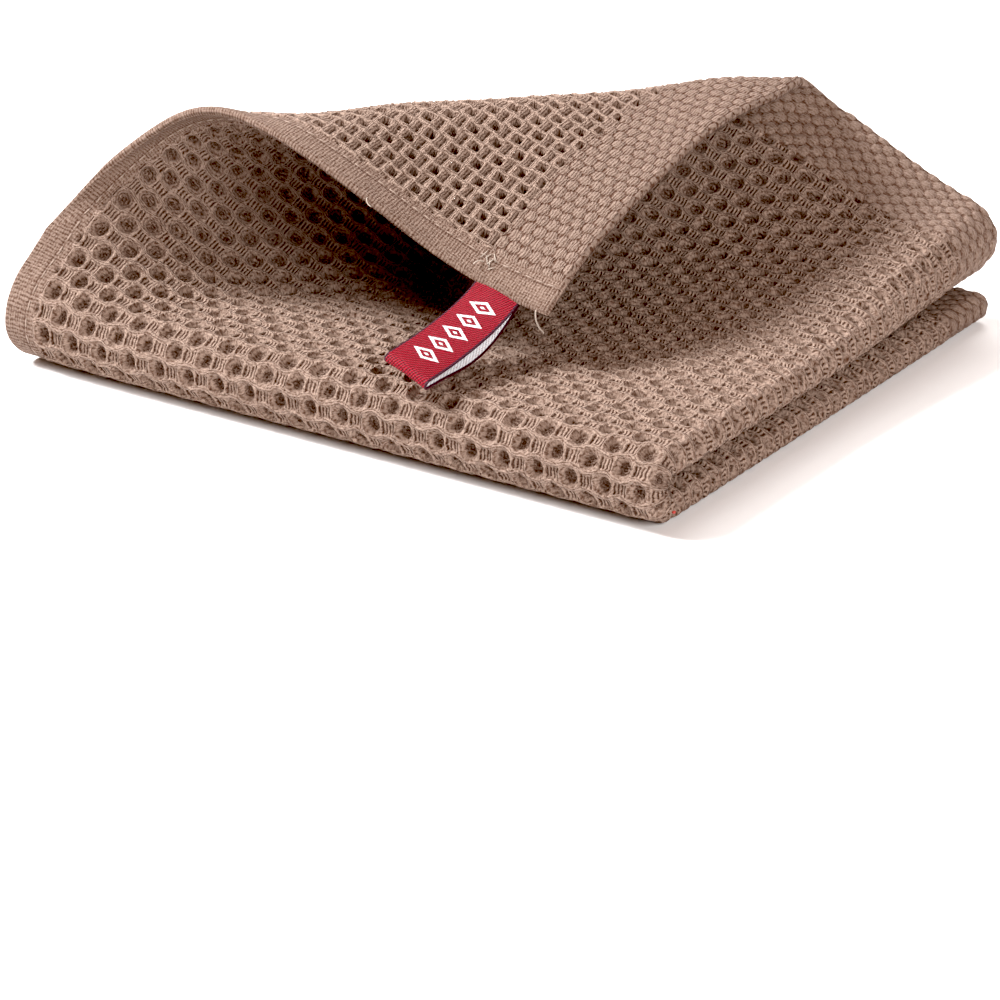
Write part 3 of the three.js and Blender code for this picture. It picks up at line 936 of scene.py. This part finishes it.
def build_tape(name, steps, columns):
    across = np.linspace(-LABEL_WIDTH / 2, LABEL_WIDTH / 2, columns + 1)
    middle, normals, lengths = tape_points(steps, across)
    tape, column, row, on_top = flat_slab(name, columns, len(lengths) - 1)
    mesh = tape.data
    side = np.where(on_top, 0.5, -0.5)[:, None] * LABEL_THICKNESS * MM
    points = middle[row, column] + normals[row, column] * side
    mesh.vertices.foreach_set("co", points.ravel())
    corner, four = face_corners(mesh)
    add_maps(mesh, corner, {"tape": (across[column], lengths[row])})
    top_corners = on_top[four].sum(axis=1)
    which = np.select([top_corners == 4, top_corners == 0], [TAPE_OUTSIDE, TAPE_INSIDE], TAPE_EDGE)
    mesh.polygons.foreach_set("material_index", which.astype(np.int32))
    mesh.update()
    bpy.ops.object.mode_set(mode="EDIT")
    bpy.ops.mesh.select_all(action="SELECT")
    bpy.ops.mesh.normals_make_consistent(inside=False)
    bpy.ops.object.mode_set(mode="OBJECT")
    bpy.ops.object.shade_smooth_by_angle(angle=TAPE_SMOOTH)
    print(name, len(mesh.polygons) * 2, "triangles, tape", round(float(lengths[-1]), 1), "mm long")
    return tape, float(lengths[-1])


tape, tape_length = build_tape("label_tape", TAPE_STEPS, TAPE_COLUMNS)

# %% [markdown]
# ## Satin, its back and its edges
# Satin shows smooth floats of one colour in fine slanting ribs. A little of its red shines through
# the white back, and a dark thread binds both edges. The ribs are drawn once and coloured twice,
# because they are the same weaving seen from its two sides.

# %% Colours of the tape, painted shade between its ribs, and its ribs
RED = (0.32, 0.003, 0.02)
# Dark red: painted shade between the satin's ribs, and mixed into the edge threads
RED_RIB_SHADE_AND_EDGE = (0.05, 0.0008, 0.003)
WHITE = (0.75, 0.74, 0.76)
# Grey: painted shade between the ribs of the white back
WHITE_RIB_SHADE = (0.2, 0.18, 0.2)
SELVEDGE = (0.035, 0.008, 0.02)
SELVEDGE_FROM, SELVEDGE_PITCH = 4.7, 0.4
TAPE_BUMP, TAPE_SHINE = 0.14, 0.25
RIB_PITCH, RIB_SLANT, CROSS_PITCH, CROSS_SLANT = 0.55, 0.55, 0.42, 0.2


def start_tape(name, roughness):
    """A new tape material, its map, its fine slanting ribs and the specks that roughen them."""
    material, tree, shader = new_material(name, roughness)
    shader.inputs["Specular IOR Level"].default_value = TAPE_SHINE
    across, along = map_fields(tree, "tape")
    drift = noise(tree, "tape", 1.2, 1.2) * 0.08
    slanting = thread((across + along * RIB_SLANT + drift) / RIB_PITCH)
    crossing = thread((along - across * CROSS_SLANT) / CROSS_PITCH)
    speck = noise(tree, "tape", 2.6, 2.6) * 0.2
    return material, shader, across, along, slanting * 0.6 + crossing * 0.4, speck


def finish_tape(shader, across, colour, height):
    """Binds both edges in dark thread and raises the ribs as bump."""
    colour = mix_colour(colour, SELVEDGE, 1 - is_less(size(across), SELVEDGE_FROM))
    finish(shader, colour, height, TAPE_BUMP)


print("each bound edge is", round(LABEL_WIDTH / 2 - SELVEDGE_FROM, 1), "mm wide")

# %% Red satin with its lozenges, the white back and the dark selvedge
LOZENGE_PITCH, LOZENGE_FROM, LOZENGE_TO = 4.4, 3.5, 25.5
LOZENGE_SLIM, LOZENGE_HALF_WIDTH = 2.5, 3.1
OUTLINE_PLACE, OUTLINE_HALF, DOT, MOTIF_RAISED = 0.78, 0.2, 0.2, 1.2


def satin_material():
    material, shader, across, along, ribs, speck = start_tape("tape_satin", 0.6)
    along_share = size(nearest((along - LOZENGE_FROM) / LOZENGE_PITCH - 0.5)) * LOZENGE_SLIM
    lozenge = along_share + size(across / LOZENGE_HALF_WIDTH)
    outline = is_less(size(lozenge - OUTLINE_PLACE + speck * 0.15), OUTLINE_HALF)
    middle_dot = is_less(lozenge + speck * 0.2, DOT)
    inside = (1 - is_less(along, LOZENGE_FROM)) * is_less(along, LOZENGE_TO)
    motif = larger(outline, middle_dot) * inside
    # The gaps between the ribs get painted shade
    red = mix_colour(RED_RIB_SHADE_AND_EDGE, RED, step_up(ribs + speck, 0.25, 0.95))
    white = mix_colour(WHITE_RIB_SHADE, WHITE, step_up(ribs + speck, -0.2, 0.6))
    finish_tape(shader, across, mix_colour(red, white, motif), ribs + motif * MOTIF_RAISED)
    return material


def satin_back_material():
    material, shader, across, along, ribs, speck = start_tape("tape_inside", 0.9)
    white = mix_colour(WHITE_RIB_SHADE, WHITE, step_up(ribs + speck, -0.1, 0.7))
    pink = step_up(noise(along.tree, "tape", 1.6, 1.6), 0.3, 0.9) * 0.4
    finish_tape(shader, across, mix_colour(white, RED, pink), ribs + speck)
    return material


def selvedge_material():
    material, tree, shader = new_material("tape_edge", 0.7)
    _, along = map_fields(tree, "tape")
    colour = mix_colour(SELVEDGE, RED_RIB_SHADE_AND_EDGE, thread(along / SELVEDGE_PITCH) * 0.6)
    tree.links.new(colour, shader.inputs["Base Color"])
    return material


for material in (satin_material(), satin_back_material(), selvedge_material()):
    tape.data.materials.append(material)
print("tape finishes", [material.name for material in tape.data.materials])

# %% [markdown]
# ## Stitching and loose threads
# The hem is held by a row of stitches, its corner by a few back-tacks in a paler thread, and three
# ends of sewing thread stand off it. A speck of red lint clings to the front corner. Each stitch is a
# small long bead laid on the cloth, and all the stitches of a row are one mesh, so that the file stays
# light. The ends are curves with a round section, made into meshes.

# %% Places on the cloth's surface, and beads laid on them
def on_cloth(across, back, is_face, lift):
    """Points on one side of the cloth, raised by lift mm, with directions across, back and out."""
    place = cut_place(across, back)
    out = cloth_normal(*place) * (1 if is_face else -1)
    height = (side_height(across, back, is_face) + lift)[..., None] * MM
    point = cloth_point(*place) + out * height
    along = unit(cloth_point(*cut_place(across, back + 0.5)) - cloth_point(*cut_place(across, back - 0.5)))
    return point, unit(np.cross(along, out)), along, out


def add_stitches(name, stitches, material):
    """Joins small beads; each stitch has its middle, direction, outward direction and half sizes in mm."""
    shape = bmesh.new()
    for middle, direction, out, half_length, half_width in stitches:
        side = np.cross(direction, out)
        laid = np.eye(4)
        laid[:3, 0] = direction * half_length * MM
        laid[:3, 1:3] = np.stack([side, out], axis=1) * half_width * MM
        laid[:3, 3] = middle
        bmesh.ops.create_icosphere(shape, subdivisions=1, radius=1, matrix=Matrix(laid))
    mesh = bpy.data.meshes.new(name)
    bmesh.ops.recalc_face_normals(shape, faces=shape.faces)
    shape.to_mesh(mesh)
    shape.free()
    mesh.shade_smooth()
    mesh.materials.append(material)
    piece = bpy.data.objects.new(name, mesh)
    bpy.context.collection.objects.link(piece)
    print(name, len(stitches), "stitches,", len(mesh.polygons), "triangles")
    return piece


# %% Sewing thread and lint
SEWING_ROUGHNESS, SEWING_GRAIN, SEWING_SHADE = 0.8, 2500, 0.6


def thread_material(name, colour):
    material, tree, shader = new_material(name, SEWING_ROUGHNESS)
    source = tree.nodes.new("ShaderNodeTexCoord")
    texture = tree.nodes.new("ShaderNodeTexNoise")
    texture.inputs["Scale"].default_value = SEWING_GRAIN
    tree.links.new(source.outputs["Object"], texture.inputs["Vector"])
    share = Field(tree, texture.outputs["Fac"])
    grained = mix_colour(tuple(c * SEWING_SHADE for c in colour), colour, share)
    tree.links.new(grained, shader.inputs["Base Color"])
    return material


hem_thread = thread_material("hem_thread", (0.36, 0.27, 0.22))
tack_thread = thread_material("tack_thread", (0.48, 0.4, 0.34))
lint_red = thread_material("lint_red", (0.5, 0.07, 0.06))
print("threads", hem_thread.name, tack_thread.name, lint_red.name)

# %% Stitches along both hems
chance = random.Random(5)
STITCH_ROW, STITCH_PITCH, STITCH_END, STITCH_LIFT = HEM - 5.9, 2.7, 2, 0.02
STITCH_SLANT, STITCH_HALF_LENGTH, STITCH_HALF_WIDTH = (-0.12, 0.12), (0.95, 1.2), (0.14, 0.19)
hem_stitches = []
for row_across in (STITCH_ROW, -STITCH_ROW):
    backs = np.arange(-FREE_LENGTH + STITCH_END, FREE_LENGTH - STITCH_END, STITCH_PITCH)
    acrosses = np.full(len(backs), row_across)
    for is_face in (True, False):
        for point, side, along, out in zip(*on_cloth(acrosses, backs, is_face, STITCH_LIFT)):
            slant = unit(along + side * chance.uniform(*STITCH_SLANT))
            half_sizes = chance.uniform(*STITCH_HALF_LENGTH), chance.uniform(*STITCH_HALF_WIDTH)
            hem_stitches.append((point, slant, out, *half_sizes))
hem_stitching = add_stitches("hem_stitching", hem_stitches, hem_thread)

# %% Tacks where the band meets the hem, and the speck of lint
BAND_START = FREE_LENGTH - BAND_WIDTH
TACKS, TACK_LIFT, TACK_ANGLE = 7, 0.15, (-1.5, 1.5)
TACK_ACROSS, TACK_BACK = (HEM - 6.4, HEM - 3.4), (BAND_START - 0.6, BAND_START + 2.6)
TACK_HALF_LENGTH, TACK_HALF_WIDTH = (0.8, 1.7), (0.1, 0.15)
LINT_PLACE, LINT_HALF_SIZES = (0.4, -8.5), (0.55, 0.34)
tack_stitches = []
for _ in range(TACKS):
    across, back = np.array(chance.uniform(*TACK_ACROSS)), np.array(chance.uniform(*TACK_BACK))
    point, side, along, out = on_cloth(across, back, False, TACK_LIFT)
    angle = chance.uniform(*TACK_ANGLE)
    heading = unit(along * math.cos(angle) + side * math.sin(angle))
    half_sizes = chance.uniform(*TACK_HALF_LENGTH), chance.uniform(*TACK_HALF_WIDTH)
    tack_stitches.append((point, heading, out, *half_sizes))
back_tack = add_stitches("back_tack", tack_stitches, tack_thread)

point, _, along, out = on_cloth(*np.array(LINT_PLACE), True, 0.0)
red_lint = add_stitches("red_lint", [(point, along, out, *LINT_HALF_SIZES)], lint_red)

# %% Loose thread ends: name, place on the cut, steps across, back and out, and radius
THREAD_ENDS = (
    ("thread_end_tip", (HEM - 1.0, FREE_LENGTH - 3), [(1.5, 0.4, -0.6), (1.4, 1.0, -1.4), (0.5, 1.2, -1.2)], 0.16),
    ("thread_end_hem", (HEM - 0.5, 96.0), [(0.9, 0.2, 0.2), (0.9, 0.8, 0.0), (0.4, 0.9, 0.2)], 0.1),
    ("thread_end_tack", (HEM - 4.6, 121.0), [(0.8, -0.8, 0.8), (1.5, -0.2, 0.5)], 0.13),
)
END_BURIED = -0.3


def end_from(across, back, steps):
    """Knots of a thread end from a place on the flap's hem, each step in mm across, back and out."""
    point, side, along, out = on_cloth(np.array(across), np.array(back), False, END_BURIED)
    knots = [point]
    for move_side, move_along, move_out in steps:
        knots.append(knots[-1] + (side * move_side + along * move_along + out * move_out) * MM)
    return [Vector(knot) for knot in knots]


def add_thread_end(name, points, radius, material):
    curve = bpy.data.curves.new(name, "CURVE")
    curve.dimensions = "3D"
    curve.bevel_depth = radius * MM
    curve.bevel_resolution = 1
    curve.use_fill_caps = True
    curve.resolution_u = 6
    spline = curve.splines.new("BEZIER")
    spline.bezier_points.add(len(points) - 1)
    for knot, point in zip(spline.bezier_points, points):
        knot.co = point
        knot.handle_left_type = knot.handle_right_type = "AUTO"
    piece = bpy.data.objects.new(name, curve)
    bpy.context.collection.objects.link(piece)
    bpy.ops.object.select_all(action="DESELECT")
    piece.select_set(True)
    bpy.context.view_layer.objects.active = piece
    bpy.ops.object.convert(target="MESH")
    piece.data.materials.append(material)
    piece.data.shade_smooth()
    return piece


thread_ends = [
    add_thread_end(name, end_from(*start, steps), radius, tack_thread) for name, start, steps, radius in THREAD_ENDS
]
print("thread ends", [piece.name for piece in thread_ends])

# %% [markdown]
# ## Floor, light and tone
# The towel lies on a plain pale floor. The main light is a soft lamp high on the left, which throws the
# rolled corner's shade to the right. A wider, weaker one at the front right opens that shade, and a
# third keeps the back from going dark. Cotton throws warm light into its own folds, and a dim orange
# world stands in for it. The plain view keeps the yarn's own colour, and a black point slightly above
# zero, least so in red, deepens the folds but leaves them warm.

# %% Floor, lights and world
FLOOR_SIDE, FLOOR_ROUGHNESS = 6, 0.5
FLOOR_TONE = (0.94, 0.94, 0.94, 1)
LIGHT_AIM = Vector((0, 0, 0.02))
WORLD_TONE = (1, 0.43, 0.21, 1)
WORLD_STRENGTH = 0.185
LIGHTS = (
    ("key", (-1.74, -0.52, 1.8), 0.7, 190),
    ("front", (2.1, -1.15, 1.3), 1.2, 80),
    ("back", (-0.5, 1.5, 1.7), 1.2, 30),
)
bpy.ops.mesh.primitive_plane_add(size=FLOOR_SIDE, location=(0, 0, 0))
floor = bpy.context.object
floor.name = "floor"
floor_paint, _, floor_shader = new_material("floor_paint", FLOOR_ROUGHNESS)
floor_shader.inputs["Base Color"].default_value = FLOOR_TONE
floor.data.materials.append(floor_paint)

for name, spot, side, power in LIGHTS:
    bpy.ops.object.light_add(type="AREA", location=spot)
    light = bpy.context.object
    light.name = name
    light.data.size = side
    light.data.energy = power
    light.rotation_euler = (LIGHT_AIM - Vector(spot)).to_track_quat("-Z", "Y").to_euler()

world = bpy.data.worlds.new("studio")
world.use_nodes = True
background = world.node_tree.nodes["Background"].inputs
background["Color"].default_value = WORLD_TONE
background["Strength"].default_value = WORLD_STRENGTH
bpy.context.scene.world = world

# %% Tone of the picture
BLACK_LEVEL = (0.02, 0.026, 0.028)
look = bpy.context.scene.view_settings
look.view_transform = "Standard"
look.use_curve_mapping = True
look.curve_mapping.black_level = BLACK_LEVEL
look.curve_mapping.update()
print("view", look.view_transform, "under the lights", [name for name, *_ in LIGHTS])

# %% [markdown]
# ## Ties to the frame
# Every piece rides the one body, because cloth has no joints. The six panels stand in for the solid
# cloth and the tape for the solid label, and both solids are hidden. The stitches, the lint and the
# thread ends ride the same body.

# %% Tie the pieces to the frame
for panel, (name, across_range, back_range, _) in zip(panels, PANELS):
    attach(panel, "root")
    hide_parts("cloth")
    flat_size = ((across_range[1] - across_range[0]) * MM, (back_range[1] - back_range[0]) * MM)
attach(tape, "root")
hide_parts("label")
tape_length * MM
for piece in (hem_stitching, back_tack, *thread_ends, red_lint):
    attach(piece, "root")
print("tied", len(panels) + 1, "sheets")
